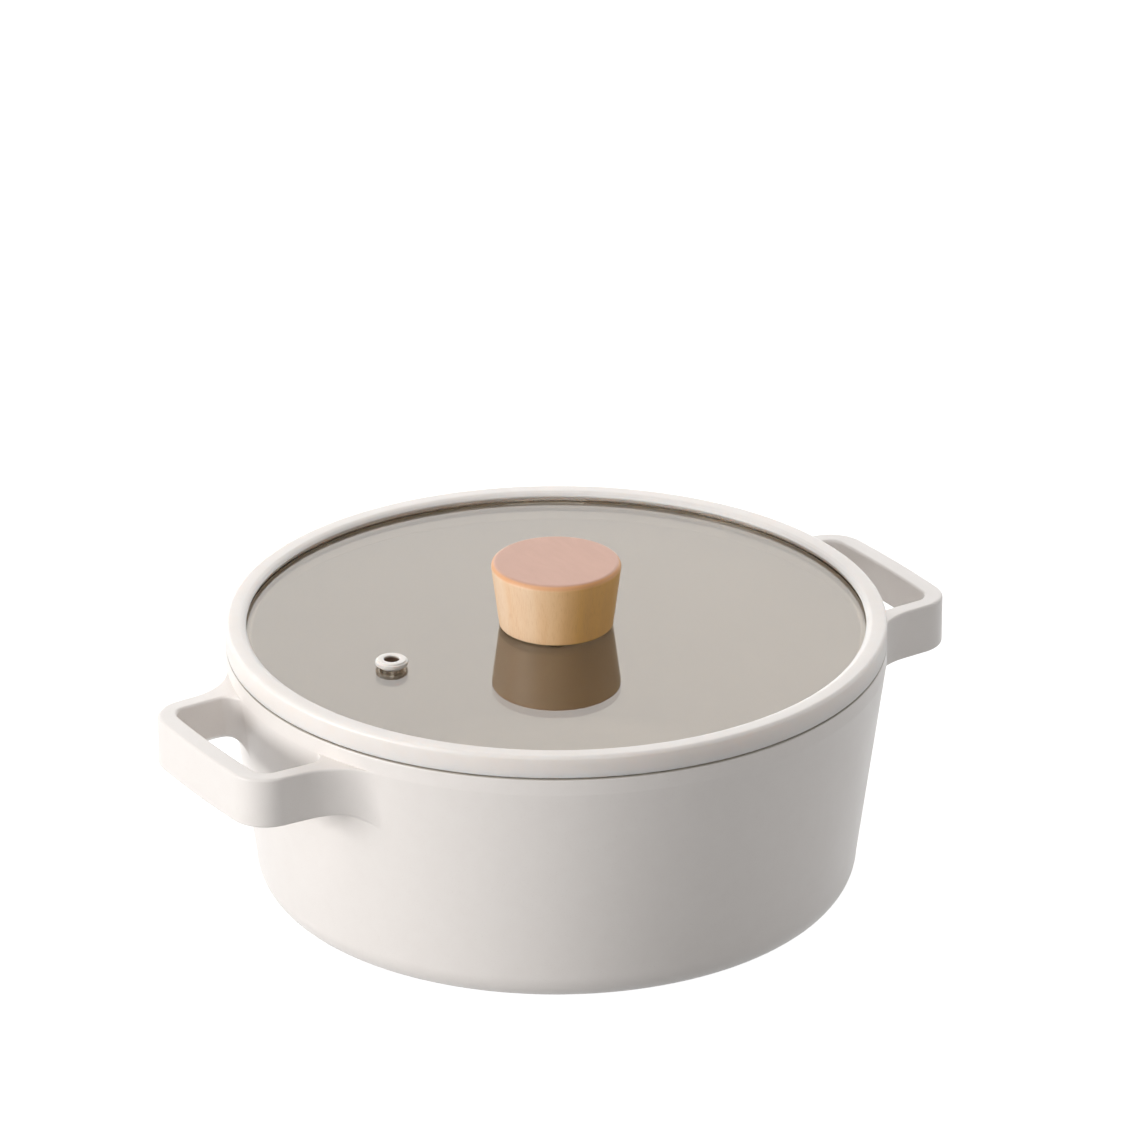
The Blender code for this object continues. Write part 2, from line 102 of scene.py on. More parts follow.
TAPER = (RIM_RADIUS - HEEL_RADIUS) / (BAND_BOTTOM - HEEL_ROUNDING)

# The lid's own dimensions
GAP = 0.3 * MM                   # air between pieces that touch on the real lid
LID_SEAT = POT_HEIGHT + 0.4 * MM
RIM_TOP_ROUNDING = 1.5 * MM
RIM_EDGE = 0.7 * MM
CROWN_RADIUS = 120.2 * MM        # the ring's top is level outside this and slopes down inside it
CROWN_ROUNDING = 2.0 * MM
SHOULDER_RADIUS = 119.0 * MM
SHOULDER_DROP = 0.48 * MM
SHOULDER_ROUNDING = 1.0 * MM
LIP_INNER_RADIUS = 118.0 * MM
LIP_DROP = 1.28 * MM             # the lip's free edge lies this much lower than the crown
LIP_THICKNESS = 0.5 * MM
LIP_TOP_EDGE = 0.25 * MM
LIP_LOW_EDGE = 0.15 * MM
LIP_ROOT_RADIUS = 119.4 * MM     # the lip is clear of the glass inside this
LEDGE_RADIUS = 115.8 * MM        # inner radius of the ledge that carries the glass
LEDGE_THICKNESS = 1.6 * MM
LEDGE_TOP_EDGE = 0.8 * MM
LEDGE_LOW_EDGE = 0.4 * MM
SKIRT_INSIDE = 118.6 * MM
SKIRT_RADIUS = 122.0 * MM
SKIRT_EDGE = 0.5 * MM
GLASS_EDGE = 0.9 * MM
KNOB_HOLE = 4.6 * MM             # radius of the hole in the glass under the knob
HOLE_EDGE = 0.2 * MM
VENT_BORE = 3.0 * MM
VENT_NECK = 4.3 * MM
VENT_CROWN = 5.4 * MM            # radius of the raised middle of the vent's flange
VENT_CROWN_FOOT = 5.6 * MM
VENT_STEP = 0.6 * MM             # the flange lies this much lower than the crown
VENT_FALL = 0.05 * MM            # and falls this much more to its edge
VENT_FLANGE = 1.5 * MM           # depth from the step to the flange's lower corner
VENT_SEAT_RADIUS = 4.8 * MM      # the flange is clear of the glass outside this
VENT_TAIL_RADIUS = 5.55 * MM
VENT_TAIL_FOOT = 4.75 * MM
VENT_EDGE = 0.3 * MM
VENT_STEP_EDGE = 0.15 * MM
VENT_OUTER_EDGE = 0.35 * MM
VENT_SEAT_EDGE = 0.2 * MM
VENT_TAIL_EDGE = 0.5 * MM

# The knob's and the base plate's own dimensions
KNOB_FOOT_RADIUS = 21.7 * MM
KNOB_ROUNDING = 2.0 * MM
KNOB_CORNER = 0.15 * MM          # the cone's corner, before rounding, lies this far outside the edge
KNOB_FOOT_EDGE = 0.6 * MM
WASHER_SEAT_RADIUS = 12.0 * MM
WASHER_SEAT_DEPTH = 1.2 * MM
WASHER_SEAT_EDGE = 0.2 * MM
KNOB_BORE = 4.2 * MM
KNOB_BORE_DEPTH = 15.5 * MM
PLATE_EDGE = 0.4 * MM
PLATE_GROOVES = range(80, 8, -12)      # radii in mm
GROOVE_HALF_WIDTH = 0.8 * MM
GROOVE_FLOOR = 0.4 * MM          # half the width of its flat floor
GROOVE_DEPTH = 0.25 * MM

# How finely the shapes are divided
ROUND = 256                      # segments round the pan and the lid
KNOB_ROUND = 128
PLATE_ROUND = 192
VENT_ROUND = 72
CUTTER_ROUND = 64
FLARE_STEPS = 24
CORNER_STEPS = 14
GRIP_STEPS = 8
EDGE_STEPS = 5
STRAP_STEP = 2.2 * MM            # longest step across the handle's section
OUTSIDE_STEP = 2.5 * MM          # longest steps along the outlines that are turned
INSIDE_STEP = 5 * MM
FOOT_STEP = 8 * MM
KNOB_STEP = 2 * MM
PLATE_STEP = 6 * MM


# ---------------------------------------------------------------- outlines

def arc(centre, radius, start, end, steps):
    """Points on an arc about centre, angles in degrees, both ends included."""
    points = []
    for i in range(steps + 1):
        angle = math.radians(start + (end - start) * i / steps)
        points.append((centre[0] + radius * math.cos(angle), centre[1] + radius * math.sin(angle)))
    return points


def rounded(corners, steps=8, closed=False):
    """A polyline through corners (x, y, radius), each corner of some radius turned into an arc."""
    count = len(corners)
    points = []
    for i, (x, y, radius) in enumerate(corners):
        if radius == 0 or (not closed and i in (0, count - 1)):
            points.append((x, y))
            continue
        before = corners[i - 1]
        after = corners[(i + 1) % count]
        in_angle = math.atan2(before[1] - y, before[0] - x)
        out_angle = math.atan2(after[1] - y, after[0] - x)
        opening = (out_angle - in_angle + math.pi) % (2 * math.pi) - math.pi
        half = abs(opening) / 2
        reach = radius / math.sin(half)
        middle = in_angle + opening / 2
        centre = (x + reach * math.cos(middle), y + reach * math.sin(middle))
        sweep = math.copysign(math.pi - 2 * half, -opening)
        first = middle + math.pi - sweep / 2
        points += arc(centre, radius, math.degrees(first), math.degrees(first + sweep), steps)
    return points


def divided(points, longest, closed=False):
    """The polyline with points added so that no step is longer than longest."""
    ends = points[1:] + points[:1] if closed else points[1:]
    out = []
    for (x0, y0), (x1, y1) in zip(points, ends):
        steps = max(1, math.ceil(math.hypot(x1 - x0, y1 - y0) / longest))
        out += [(x0 + (x1 - x0) * i / steps, y0 + (y1 - y0) * i / steps) for i in range(steps)]
    if not closed:
        out.append(points[-1])
    return out


# ---------------------------------------------------------------- mesh helpers

AREA_WEIGHT = 80     # how strongly normals follow the large faces, where 50 is neutral


def link(name, mesh):
    """A new object of this mesh, in the scene."""
    obj = bpy.data.objects.new(name, mesh)
    bpy.context.scene.collection.objects.link(obj)
    return obj


def finished(name, work):
    """The object made of a bmesh, which is freed."""
    bmesh.ops.recalc_face_normals(work, faces=work.faces)
    mesh = bpy.data.meshes.new(name)
    work.to_mesh(mesh)
    work.free()
    mesh.shade_smooth()
    return link(name, mesh)


def lathe(name, profile, steps, closed=False, centre=(0, 0)):
    """A solid of revolution about +Z. The profile (radius, z) runs down the outer side.

    A closed profile joins up with its own start, and an open one starts and ends on the axis.
    """
    work = bmesh.new()
    rings = []
    for radius, z in profile:
        if radius < 1e-7:
            rings.append([work.verts.new((centre[0], centre[1], z))])
            continue
        ring = []
        for i in range(steps):
            angle = 2 * math.pi * i / steps
            ring.append(work.verts.new((
                centre[0] + radius * math.cos(angle), centre[1] + radius * math.sin(angle), z)))
        rings.append(ring)
    for upper, lower in zip(rings, rings[1:] + (rings[:1] if closed else [])):
        for i in range(steps):
            k = (i + 1) % steps
            corners = [upper[i % len(upper)], lower[i % len(lower)],
                       lower[k % len(lower)], upper[k % len(upper)]]
            corners = list(dict.fromkeys(corners))
            if len(corners) > 2:
                work.faces.new(corners)
    return finished(name, work)


def boolean(obj, other, operation):
    """Applies a Boolean with other, which is then removed."""
    modifier = obj.modifiers.new("cut", "BOOLEAN")
    modifier.operation = operation
    modifier.object = other
    modifier.solver = "EXACT"
    bpy.context.view_layer.update()
    graph = bpy.context.evaluated_depsgraph_get()
    mesh = bpy.data.meshes.new_from_object(obj.evaluated_get(graph))
    obj.modifiers.clear()
    obj.data = mesh
    mesh.name = obj.name
    mesh.shade_smooth()
    bpy.data.objects.remove(other, do_unlink=True)


def loft(name, sides, longest):
    """A closed solid whose lengthwise edges are sides, polylines of equally many points.

    Between two sides it takes steps of about longest at most, and equally many all along.
    """
    counts = []
    for side, following in zip(sides, sides[1:] + sides[:1]):
        gaps = [(end - start).length for start, end in zip(side, following)]
        counts.append(max(1, round(max(gaps) / longest)))
    work = bmesh.new()
    rings = []
    for corners in zip(*sides):
        ring = []
        for start, end, count in zip(corners, corners[1:] + corners[:1], counts):
            ring += [work.verts.new(start.lerp(end, k / count)) for k in range(count)]
        rings.append(ring)
    for first, second in zip(rings, rings[1:]):
        for j in range(len(first)):
            k = (j + 1) % len(first)
            work.faces.new((first[j], first[k], second[k], second[j]))
    work.faces.new(rings[0])
    work.faces.new(reversed(rings[-1]))
    return finished(name, work)


def smooth_by_area(obj, sharp_angle=40):
    """Smooth shading whose normals follow the large faces, with real corners kept crisp."""
    obj.data.shade_smooth()
    obj.data.set_sharp_from_angle(angle=math.radians(sharp_angle))
    modifier = obj.modifiers.new("normals", "WEIGHTED_NORMAL")
    modifier.keep_sharp = True
    modifier.weight = AREA_WEIGHT


# ---------------------------------------------------------------- casting

def wall_radius(z):
    """The pan's outside radius at height z, above the heel."""
    return RIM_RADIUS - TAPER * max(0.0, BAND_BOTTOM - z)


def casting_profile():
    """Section of wall and floor: down the outside, under the foot, and up the inside."""
    foot_radius = HEEL_RADIUS - HEEL_ROUNDING
    inner = RIM_RADIUS - WALL
    outside = rounded([
        (inner + RIM_ROUNDING, POT_HEIGHT, 0),
        (RIM_RADIUS, POT_HEIGHT, RIM_ROUNDING),
        (RIM_RADIUS, BAND_BOTTOM, BAND_ROUNDING),
        (HEEL_RADIUS, HEEL_ROUNDING, 0),
    ], steps=6)
    heel = arc((foot_radius, HEEL_ROUNDING), HEEL_ROUNDING, 0, -90, 20)
    recess = rounded([
        (foot_radius, 0, 0),
        (RECESS_RADIUS, 0, RECESS_EDGE),
        (RECESS_RADIUS, RECESS_DEPTH, RECESS_EDGE),
        (0, RECESS_DEPTH, 0),
    ], steps=3)
    inside = rounded([
        (0, FLOOR_TOP, 0),
        (wall_radius(FLOOR_TOP) - WALL, FLOOR_TOP, FLOOR_ROUNDING),
        (inner, BAND_BOTTOM, BAND_ROUNDING),
        (inner, POT_HEIGHT, RIM_ROUNDING),
        (inner + RIM_ROUNDING, POT_HEIGHT, 0),
    ], steps=10)
    under = divided(heel[1:] + recess[1:], FOOT_STEP)
    return divided(outside, OUTSIDE_STEP) + under + divided(inside, INSIDE_STEP)[:-1]


def flare(half_width, radius, wall, outward):
    """The arc that carries a leg's side, at y = half_width, into the wall, from the wall out."""
    side = half_width + outward * radius
    reach = math.sqrt((wall + radius) ** 2 - side ** 2)
    start = math.degrees(math.atan2(-side, -reach))
    if outward < 0:
        start %= 360
    return arc((reach, side), radius, start, -90 * outward, FLARE_STEPS)


def strap_side(offset, corner, flare_radius, outward, z):
    """Half of one side of the handle in plan at height z, from inside the wall to mid grip.

    The leg runs straight out of its flare, then a corner leads into the bowed grip.
    """
    grip, leg = offset
    wall = wall_radius(z) - FLARE_SINK
    half = HANDLE_HALF_WIDTH - leg
    reach = HANDLE_REACH - grip
    bow = GRIP_BOW_RADIUS - grip
    bow_x = reach - bow
    corner_x = bow_x + math.sqrt(bow ** 2 - half ** 2)
    splay = LEG_SPLAY * (corner_x - wall)
    root = flare(half + splay * FLARE_SPLAY, flare_radius, wall, outward)
    buried = [(root[0][0] * BURIED, root[0][1] * BURIED)]
    start = Vector(root[-1])
    along = (Vector((corner_x, half)) - start).normalized()
    inward = Vector((along.y, -along.x))
    base = start + inward * corner - Vector((bow_x, 0))
    step = along.dot(base)
    travel = math.sqrt(step ** 2 - base.length_squared + (bow - corner) ** 2) - step
    centre = start + inward * corner + along * travel
    to_leg = math.degrees(math.atan2(-inward.y, -inward.x))
    to_grip = math.degrees(math.atan2(centre.y, centre.x - bow_x))
    around = arc(centre, corner, to_leg, to_grip, CORNER_STEPS)
    bowed = arc((bow_x, 0), bow, to_grip, 0, GRIP_STEPS)[1:]
    return buried + root + around + bowed


def lowered(points, z, root_radius, rises):
    """Points of a lower edge, raised by rises and rounded down into the wall."""
    placed = []
    for (x, y), rise in zip(points, rises):
        radius = math.hypot(x, y)
        gap = min(max(radius - wall_radius(z), 0.0), root_radius)
        drop = root_radius - math.sqrt(root_radius ** 2 - (root_radius - gap) ** 2)
        scale = (radius - TAPER * (drop - rise)) / radius if drop > 0 else 1.0
        placed.append((x * scale, y * scale, z + rise - drop))
    return placed


def underside_rises(count):
    """How far the loop's inner lower edge lies above the outer one, at count points along it."""
    rises = []
    for i in range(count):
        share = min(max((i - FLARE_STEPS - 1) / CORNER_STEPS, 0.0), 1.0)
        thickness = LEG_THICKNESS + share * (GRIP_THICKNESS - LEG_THICKNESS)
        rises.append(UNDERSIDE_SLOPE * thickness)
    return rises


def strap_section():
    """Edges of the handle's section: side (1 outer, -1 inner), inset, height, rounding at the wall."""
    upper = HANDLE_TOP - HANDLE_EDGE
    lower = HANDLE_TOP - HANDLE_HEIGHT + HANDLE_EDGE
    quarter = [(HANDLE_EDGE - x, y) for x, y in arc((0, 0), HANDLE_EDGE, 0, 90, EDGE_STEPS)]
    section = [(1, inset, upper + rise, 0) for inset, rise in quarter]
    section += [(-1, inset, upper + rise, 0) for inset, rise in reversed(quarter)]
    section += [(-1, inset, lower - rise, INNER_ROOT) for inset, rise in quarter]
    section += [(1, inset, lower - rise, OUTER_ROOT) for inset, rise in reversed(quarter)]
    return section


def handle_strap(name, direction):
    """One loop handle as a closed loft with rounded edges, its ends hidden in the wall."""
    sides = []
    for outward, inset, z, root_radius in strap_section():
        if outward > 0:
            half = strap_side((inset, inset), HANDLE_CORNER, OUTER_FLARE, 1, z)
        else:
            offset = (GRIP_THICKNESS - inset, LEG_THICKNESS - inset)
            half = strap_side(offset, LOOP_CORNER, INNER_FLARE, -1, z)
        if root_radius:
            rises = underside_rises(len(half)) if outward < 0 else [0] * len(half)
            half = lowered(half, z, root_radius, rises)
        else:
            half = [(x, y, z) for x, y in half]
        whole = half + [(x, -y, height) for x, y, height in reversed(half[:-1])]
        sides.append([Vector((x * direction, y * direction, height)) for x, y, height in whole])
    return loft(name, sides, STRAP_STEP)


def make_casting():
    """Pan body and both handles in one closed mesh."""
    casting = lathe("pan_casting", casting_profile(), ROUND, closed=True)
    for name, direction in (("strap_right", 1), ("strap_left", -1)):
        boolean(casting, handle_strap(name, direction), "UNION")
    smooth_by_area(casting, 50)
    return casting


# ---------------------------------------------------------------- lid

def make_rim():
    """Ring with a groove for the glass, a flange on the pan's rim and a skirt inside the pan."""
    groove = GLASS_RADIUS + GAP
    ledge_top = GLASS_BOTTOM - GAP
    ledge_bottom = ledge_top - LEDGE_THICKNESS
    lip_top = LID_TOP - LIP_DROP
    corners = [
        (RIM_RADIUS, LID_TOP, RIM_TOP_ROUNDING),
        (RIM_RADIUS, LID_SEAT, RIM_EDGE),
        (SKIRT_RADIUS, LID_SEAT, 0),
        (SKIRT_RADIUS, RIM_LOW.z, SKIRT_EDGE),
        (SKIRT_INSIDE, RIM_LOW.z, SKIRT_EDGE),
        (SKIRT_INSIDE, ledge_bottom, SKIRT_EDGE),
        (LEDGE_RADIUS, ledge_bottom, LEDGE_LOW_EDGE),
        (LEDGE_RADIUS, ledge_top, LEDGE_TOP_EDGE),
        (groove, ledge_top, 0),
        (groove, GLASS_TOP + GAP, 0),
        (LIP_ROOT_RADIUS, GLASS_TOP + GAP, 0),
        (LIP_INNER_RADIUS, lip_top - LIP_THICKNESS, LIP_LOW_EDGE),
        (LIP_INNER_RADIUS, lip_top, LIP_TOP_EDGE),
        (SHOULDER_RADIUS, LID_TOP - SHOULDER_DROP, SHOULDER_ROUNDING),
        (CROWN_RADIUS, LID_TOP, CROWN_ROUNDING),
    ]
    rim = lathe("lid_rim_ring", rounded(corners, closed=True), ROUND, closed=True)
    smooth_by_area(rim)
    return rim


def make_glass():
    """Flat pane with rounded edges, a hole for the knob's screw and one for the vent."""
    corners = [
        (GLASS_RADIUS, GLASS_TOP, GLASS_EDGE),
        (GLASS_RADIUS, GLASS_BOTTOM, GLASS_EDGE),
        (KNOB_HOLE, GLASS_BOTTOM, HOLE_EDGE),
        (KNOB_HOLE, GLASS_TOP, HOLE_EDGE),
    ]
    glass = lathe("lid_glass_pane", rounded(corners, steps=5, closed=True), ROUND, closed=True)
    hole = VENT_NECK + GAP
    above = GLASS_TOP + MM
    below = GLASS_BOTTOM - MM
    outline = [(0, above), (hole, above), (hole, below), (0, below)]
    boolean(glass, lathe("vent_cutter", outline, CUTTER_ROUND, centre=(VENT_X, 0)), "DIFFERENCE")
    smooth_by_area(glass)
    return glass


def make_vent():
    """Ring with a stepped flange whose underside lifts clear of the glass at its edge."""
    seat = GLASS_TOP + GAP
    under = GLASS_BOTTOM - GAP
    top = VENT_HIGH.z
    low = VENT_LOW.z
    flange_top = top - VENT_STEP
    corners = [
        (VENT_CROWN, top, VENT_EDGE),
        (VENT_CROWN_FOOT, flange_top, VENT_STEP_EDGE),
        (VENT_RADIUS, flange_top - VENT_FALL, VENT_OUTER_EDGE),
        (VENT_RADIUS, flange_top - VENT_FLANGE, VENT_EDGE),
        (VENT_SEAT_RADIUS, seat, VENT_SEAT_EDGE),
        (VENT_NECK, seat, 0),
        (VENT_NECK, under, 0),
        (VENT_TAIL_RADIUS, under, VENT_EDGE),
        (VENT_TAIL_FOOT, low, VENT_TAIL_EDGE),
        (VENT_BORE, low, VENT_EDGE),
        (VENT_BORE, top, VENT_OUTER_EDGE),
    ]
    outline = rounded(corners, steps=5, closed=True)
    vent = lathe("vent_ring", outline, VENT_ROUND, closed=True, centre=(VENT_X, 0))
    smooth_by_area(vent)
    return vent


def make_knob():
    """Tapered knob with a shallow seat for its washer and a blind bore for the insert."""
    foot = KNOB_LOW.z
    top = KNOB_HIGH.z
    seat = foot + WASHER_SEAT_DEPTH
    bore_end = foot + KNOB_BORE_DEPTH
    corners = [
        (0, top, 0),
        (KNOB_TOP_RADIUS + KNOB_CORNER, top, KNOB_ROUNDING),
        (KNOB_FOOT_RADIUS, foot, KNOB_FOOT_EDGE),
        (WASHER_SEAT_RADIUS, foot, WASHER_SEAT_EDGE),
        (WASHER_SEAT_RADIUS, seat, 0),
        (KNOB_BORE, seat, 0),
        (KNOB_BORE, bore_end, 0),
        (0, bore_end, 0),
    ]
    knob = lathe("turned_knob", divided(rounded(corners), KNOB_STEP), KNOB_ROUND)
    smooth_by_area(knob)
    return knob


def make_plate():
    """The steel disc in the underside, with shallow turned rings in its face."""
    top = PLATE_HIGH.z
    low = PLATE_LOW.z
    radius = PLATE_HIGH.x
    corners = [(0, top, 0), (radius, top, 0), (radius, low, PLATE_EDGE)]
    for groove in PLATE_GROOVES:
        at = groove * MM
        corners += [
            (at + GROOVE_HALF_WIDTH, low, 0),
            (at + GROOVE_FLOOR, low + GROOVE_DEPTH, 0),
            (at - GROOVE_FLOOR, low + GROOVE_DEPTH, 0),
            (at - GROOVE_HALF_WIDTH, low, 0),
        ]
    corners.append((0, low, 0))
    plate = lathe("base_plate_disc", divided(rounded(corners, steps=4), PLATE_STEP), PLATE_ROUND)
    smooth_by_area(plate, 20)
    return plate


# ---------------------------------------------------------------- materials

def srgb(red, green, blue):
    """A colour given as 0 to 255 display values, as linear light."""
    values = []
    for value in (red, green, blue):
        value /= 255
        values.append(value / 12.92 if value <= 0.04045 else ((value + 0.055) / 1.055) ** 2.4)
    return (*values, 1.0)


# Colours in linear light
COAT_LIGHT = (0.81, 0.765, 0.728, 1)
COAT_DARK = (0.80, 0.752, 0.715, 1)
COAT_SPECK = (0.68, 0.63, 0.58, 1)
RIM_GAP_SHADE = (0.30, 0.26, 0.20, 1)          # painted shade, for the gap under the lid's ring
IVORY_LIGHT = (0.81, 0.765, 0.73, 1)
IVORY_DARK = (0.80, 0.752, 0.715, 1)
WHITE_LIGHT = (0.83, 0.785, 0.74, 1)
WHITE_DARK = (0.80, 0.755, 0.71, 1)
# painted shade inside the vent's bore
BORE_SHADE = srgb(128, 104, 84)
GREY_LIGHT = srgb(150, 147, 144)
GREY_DARK = srgb(138, 135, 132)
HEARTWOOD = (0.96, 0.545, 0.185, 1)
# painted highlight: a paler copy of the wood for the side the light falls on
WOOD_LIT_SIDE = (0.96, 0.71, 0.50, 1)
WOOD_BAND = (0.84, 0.47, 0.20, 1)
WOOD_FIBRE = (0.70, 0.38, 0.16, 1)
WOOD_RIM = (0.70, 0.33, 0.15, 1)
END_GRAIN_LIGHT = (0.65, 0.378, 0.282, 1)
END_GRAIN_DARK = (0.62, 0.356, 0.264, 1)
END_GRAIN_PORE = (0.53, 0.30, 0.21, 1)
SMOKED_GLASS = (0.68, 0.61, 0.51, 1)
STEEL_LIGHT = srgb(206, 204, 201)
STEEL_DARK = srgb(190, 187, 183)
BRASS_LIGHT = srgb(214, 180, 106)
BRASS_DARK = srgb(196, 160, 88)
WHITE = (1, 1, 1, 1)

SCATTER = (1.0, 0.9, 0.82)                 # reach of red, green and blue light in silicone
TURNING_MARKS = 900                        # wave scale, with a mark about every 0.35 mm


class Graph:
    """A material's node tree, with short calls for what every finish here uses."""

    def __init__(self, name):
        self.material = bpy.data.materials.new(name)
        self.material.use_nodes = True
        self.tree = self.material.node_tree
        self.shader = self.tree.nodes["Principled BSDF"]
        self.place = self.node("ShaderNodeTexCoord").outputs["Object"]

    def node(self, kind, **settings):
        """A new node of this kind."""
        made = self.tree.nodes.new(kind)
        for key, value in settings.items():
            setattr(made, key, value)
        return made

    def join(self, source, target):
        """Links an output to an input."""
        self.tree.links.new(source, target)

    def stretched(self, scale):
        """The object's coordinates, each times its scale."""
        mapping = self.node("ShaderNodeMapping")
        mapping.inputs["Scale"].default_value = scale
        self.join(self.place, mapping.inputs["Vector"])
        return mapping.outputs["Vector"]

    def along(self, axis):
        """The object's coordinate on one axis."""
        split = self.node("ShaderNodeSeparateXYZ")
        self.join(self.place, split.inputs["Vector"])
        return split.outputs[axis]

    def noise(self, size, detail=2.0, roughness=0.5, vector=None, distortion=0.0):
        """Noise 0 to 1 whose blobs are about size metres across."""
        made = self.node("ShaderNodeTexNoise")
        made.inputs["Scale"].default_value = 1 / size
        made.inputs["Detail"].default_value = detail
        made.inputs["Roughness"].default_value = roughness
        made.inputs["Distortion"].default_value = distortion
        self.join(vector or self.place, made.inputs["Vector"])
        return made.outputs["Fac"]

    def patches(self, size, detail, to_low=0.0, to_high=1.0):
        """Soft patches about size metres across, from to_low to to_high."""
        return self.spread(self.noise(size, detail=detail), 0.3, 0.7, to_low, to_high)

    def spread(self, value, low, high, to_low=0.0, to_high=1.0):
        """The value, brought from the range low to high into to_low to to_high."""
        made = self.node("ShaderNodeMapRange")
        limits = {"From Min": low, "From Max": high, "To Min": to_low, "To Max": to_high}
        for key, number in limits.items():
            made.inputs[key].default_value = number
        self.join(value, made.inputs["Value"])
        return made.outputs["Result"]

    def mixed(self, share, first, second):
        """Colour first where share is 0 and second where it is 1."""
        made = self.node("ShaderNodeMix", data_type="RGBA")
        for socket, colour in ((made.inputs[6], first), (made.inputs[7], second)):
            if isinstance(colour, tuple):
                socket.default_value = colour
            else:
                self.join(colour, socket)
        self.join(share, made.inputs[0])
        return made.outputs[2]

    def bump(self, height, distance, normal=None):
        """A normal that follows height, with bumps of this depth, on top of another normal."""
        made = self.node("ShaderNodeBump")
        made.inputs["Distance"].default_value = distance
        self.join(height, made.inputs["Height"])
        if normal:
            self.join(normal, made.inputs["Normal"])
        return made.outputs["Normal"]

    def edges(self, low, high, to_low, to_high):
        """A value that follows how sharply the surface turns outward."""
        geometry = self.node("ShaderNodeNewGeometry")
        return self.spread(geometry.outputs["Pointiness"], low, high, to_low, to_high)

    def set(self, **values):
        """Sets the shader's inputs, named with underscores for spaces."""
        for key, value in values.items():
            self.shader.inputs[key.replace("_", " ")].default_value = value

    def finish(self, colour=None, roughness=None, normal=None):
        """Links what is given to the shader. Returns the material."""
        for source, key in ((colour, "Base Color"), (roughness, "Roughness"), (normal, "Normal")):
            if source:
                self.join(source, self.shader.inputs[key])
        return self.material


def coat_material(name, roughness, top):
    """Sprayed ceramic coat: slight mottling, fine dust-like specks, faint orange peel, edge wear.

    The rim's top face, at height top, is painted dark: painted shade of the gap under the lid's ring.
    """
    g = Graph(name)
    colour = g.mixed(g.patches(6 * MM, 3.0), COAT_LIGHT, COAT_DARK)
    dust = g.spread(g.noise(0.45 * MM, detail=1.0), 0.66, 0.76, 0.0, 0.35)
    colour = g.mixed(dust, colour, COAT_SPECK)
    wear = g.edges(0.52, 0.60, 0.0, 0.25)
    colour = g.mixed(wear, colour, COAT_LIGHT)
    # painted shade: the rim's top face goes dark, for the gap under the lid's ring
    gap_shade = g.spread(g.along("Z"), top - 0.45 * MM, top - 0.15 * MM, 0.0, 0.75)
    colour = g.mixed(gap_shade, colour, RIM_GAP_SHADE)
    rough = g.patches(14 * MM, 4.0, roughness - 0.03, roughness + 0.03)
    peel = g.bump(g.noise(1.5 * MM), 0.010 * MM)
    grain = g.bump(g.noise(0.28 * MM, detail=1.0), 0.004 * MM, normal=peel)
    g.set(Specular_IOR_Level=0.5)
    return g.finish(colour, rough, grain)


def silicone_material(name, light, dark, roughness, depth_of_light, bore=None):
    """Moulded silicone: near-flat, a little translucent, with a matt and slightly cloudy surface.

    bore is the centre's X, the radius and the top of a hole whose inside is painted dark, from just
    below its top downward: painted shade.
    """
    g = Graph(name)
    colour = g.mixed(g.patches(6 * MM, 3.0), light, dark)
    lint = g.spread(g.noise(0.4 * MM, detail=1.0), 0.70, 0.80, 0.0, 0.3)
    colour = g.mixed(lint, colour, dark)
    if bore:
        # painted shade: the inside of the vent's bore goes brown from just below its top down
        centre, radius, top = bore
        away = g.node("ShaderNodeVectorMath", operation="DISTANCE")
        g.join(g.stretched((1.0, 1.0, 0.0)), away.inputs[0])
        away.inputs[1].default_value = (centre, 0.0, 0.0)
        inside = g.spread(away.outputs["Value"], radius, radius + 0.1 * MM, 1.0, 0.0)
        depth = g.spread(g.along("Z"), top - 1.1 * MM, top - 0.3 * MM, 1.0, 0.0)
        stain_and_shade = g.node("ShaderNodeMath", operation="MULTIPLY")
        g.join(inside, stain_and_shade.inputs[0])
        g.join(depth, stain_and_shade.inputs[1])
        colour = g.mixed(stain_and_shade.outputs["Value"], colour, BORE_SHADE)
    rough = g.patches(5 * MM, 3.0, roughness - 0.04, roughness + 0.05)
    normal = g.bump(g.noise(0.35 * MM), 0.006 * MM)
    g.set(Sheen_Weight=0.05, Sheen_Roughness=0.4)
    g.set(Subsurface_Weight=1.0, Subsurface_Scale=depth_of_light, Subsurface_Radius=SCATTER)
    return g.finish(colour, rough, normal)


